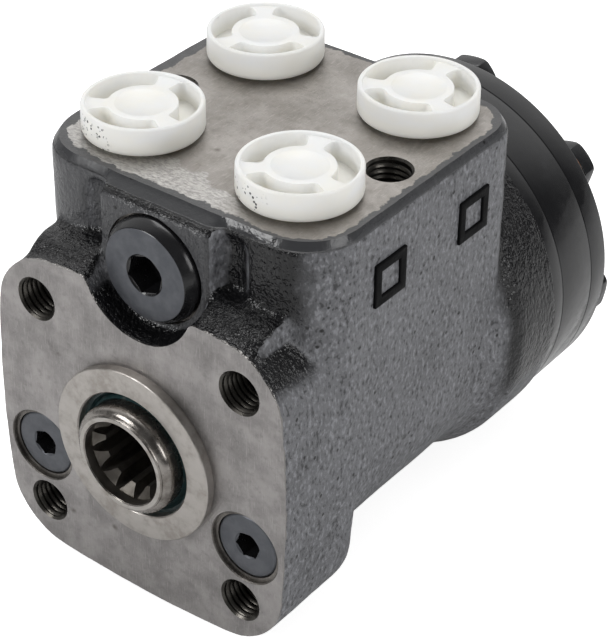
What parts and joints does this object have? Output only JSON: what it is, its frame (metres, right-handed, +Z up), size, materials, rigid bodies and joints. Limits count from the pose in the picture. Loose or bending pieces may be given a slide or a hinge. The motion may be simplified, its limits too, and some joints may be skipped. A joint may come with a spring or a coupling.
{
  "type": "orbital steering unit",
  "caption": "Hydrostatic steering unit: splined rotary valve in a flanged housing, ported block on top, gerotor metering set and end cover behind.",
  "frame": {"origin": "centre of the mounting flange's face, on the shaft's axis", "axes": "+Y back along the shaft into the unit, +Z up to the port face, +X to the right"},
  "size_m": [0.0936, 0.1415, 0.1165],
  "materials": {
    "cast_black": "satin black paint on cast iron, machined faces bare",
    "gloss_black": "gloss black paint on steel",
    "screw_black": "gloss black paint over steel screws",
    "copper": "copper washers, painted at the rim",
    "plug_grey": "phosphated blue grey",
    "ground_steel": "ground and oiled",
    "polished_steel": "polished",
    "seal_rubber": "black rubber",
    "dust_rubber": "teal rubber",
    "cap_plastic": "natural white polyethylene"
  },
  "bodies": {
    "housing": {"valve_housing": "cast_black", "distributor_plate": "gloss_black", "gear_ring": "gloss_black", "end_cover": "gloss_black", "cover_screws": "screw_black", "pin_screw": "screw_black", "cover_washers": "copper", "housing_o_ring": "seal_rubber", "plate_o_ring": "seal_rubber", "cover_o_ring": "seal_rubber", "dust_seal": "dust_rubber", "shaft_seal": "seal_rubber", "thrust_race_front": "ground_steel", "relief_plug": "plug_grey", "relief_adjuster": "ground_steel", "relief_spring": "ground_steel", "relief_seat": "ground_steel", "check_bushing": "ground_steel", "shock_plug_left": "plug_grey", "shock_spring_left": "ground_steel", "shock_seat_left": "ground_steel", "shock_plug_right": "plug_grey", "shock_spring_right": "ground_steel", "shock_seat_right": "ground_steel"},
    "bearing_cage": {"thrust_cage": "ground_steel"},
    "sleeve": {"valve_sleeve": "ground_steel", "cross_pin": "ground_steel", "neutral_springs": "ground_steel", "spring_ring": "ground_steel", "thrust_race_rear": "ground_steel"},
    "spool": {"valve_spool": "polished_steel"},
    "orbit": {"drive_spacer": "ground_steel"},
    "rotor": {"gear_rotor": "ground_steel"},
    "drive": {"drive_shaft": "ground_steel"},
    "relief_poppet": {"relief_poppet": "ground_steel"},
    "shock_ball_left": {"shock_ball_left": "ground_steel"},
    "shock_ball_right": {"shock_ball_right": "ground_steel"},
    "check_ball": {"check_ball": "ground_steel"},
    "cap_front_left": {"port_cap_front_left": "cap_plastic"},
    "cap_front_right": {"port_cap_front_right": "cap_plastic"},
    "cap_rear_left": {"port_cap_rear_left": "cap_plastic"},
    "cap_rear_right": {"port_cap_rear_right": "cap_plastic"}
  },
  "joints": [
    {"name": "sleeve_spin", "type": "hinge", "parent": "housing", "child": "sleeve", "pos_m": [0, 0, 0], "axis": [0, 1, 0], "continuous": true},
    {"name": "spool_deflection", "type": "hinge", "parent": "sleeve", "child": "spool", "pos_m": [0, 0, 0], "axis": [0, 1, 0], "range_deg": [-10, 10], "stiffness_Nm_per_rad": 1, "deforming": ["neutral_springs"]},
    {"name": "cage_spin", "type": "hinge", "parent": "housing", "child": "bearing_cage", "pos_m": [0, 0, 0], "axis": [0, 1, 0], "continuous": true},
    {"name": "rotor_orbit", "type": "hinge", "parent": "housing", "child": "orbit", "pos_m": [0, 0, 0], "axis": [0, 1, 0], "continuous": true},
    {"name": "rotor_spin", "type": "hinge", "parent": "orbit", "child": "rotor", "pos_m": [0, 0.1133, 0.0028], "axis": [0, 1, 0], "continuous": true},
    {"name": "drive_spin", "type": "hinge", "parent": "orbit", "child": "drive", "pos_m": [0, 0.03, 0], "axis": [0, 0.9994, 0.0336], "continuous": true},
    {"name": "relief_lift", "type": "slide", "parent": "housing", "child": "relief_poppet", "axis": [0, -1, 0], "range_m": [0, 0.002], "stiffness_N_per_m": 1500, "springref_m": -0.002, "deforming": ["relief_spring"]},
    {"name": "check_lift", "type": "slide", "parent": "housing", "child": "check_ball", "axis": [0, -1, 0], "range_m": [0, 0.002]},
    {"name": "shock_lift_left", "type": "slide", "parent": "housing", "child": "shock_ball_left", "axis": [0, -1, 0], "range_m": [0, 0.0015], "stiffness_N_per_m": 800, "springref_m": -0.002, "deforming": ["shock_spring_left"]},
    {"name": "shock_lift_right", "type": "slide", "parent": "housing", "child": "shock_ball_right", "axis": [0, -1, 0], "range_m": [0, 0.0015], "stiffness_N_per_m": 800, "springref_m": -0.002, "deforming": ["shock_spring_right"]},
    {"name": "cap_pull_front_left", "type": "slide", "parent": "housing", "child": "cap_front_left", "axis": [0, 0, 1], "range_m": [0, 0.03]},
    {"name": "cap_pull_front_right", "type": "slide", "parent": "housing", "child": "cap_front_right", "axis": [0, 0, 1], "range_m": [0, 0.03]},
    {"name": "cap_pull_rear_left", "type": "slide", "parent": "housing", "child": "cap_rear_left", "axis": [0, 0, 1], "range_m": [0, 0.03]},
    {"name": "cap_pull_rear_right", "type": "slide", "parent": "housing", "child": "cap_rear_right", "axis": [0, 0, 1], "range_m": [0, 0.03]}
  ],
  "couplings": [
    {"joint": "cage_spin", "follows": "sleeve_spin", "ratio": 0.5},
    {"joint": "rotor_orbit", "follows": "sleeve_spin", "ratio": -6},
    {"joint": "rotor_spin", "follows": "sleeve_spin", "ratio": 7},
    {"joint": "drive_spin", "follows": "sleeve_spin", "ratio": 7}
  ]
}
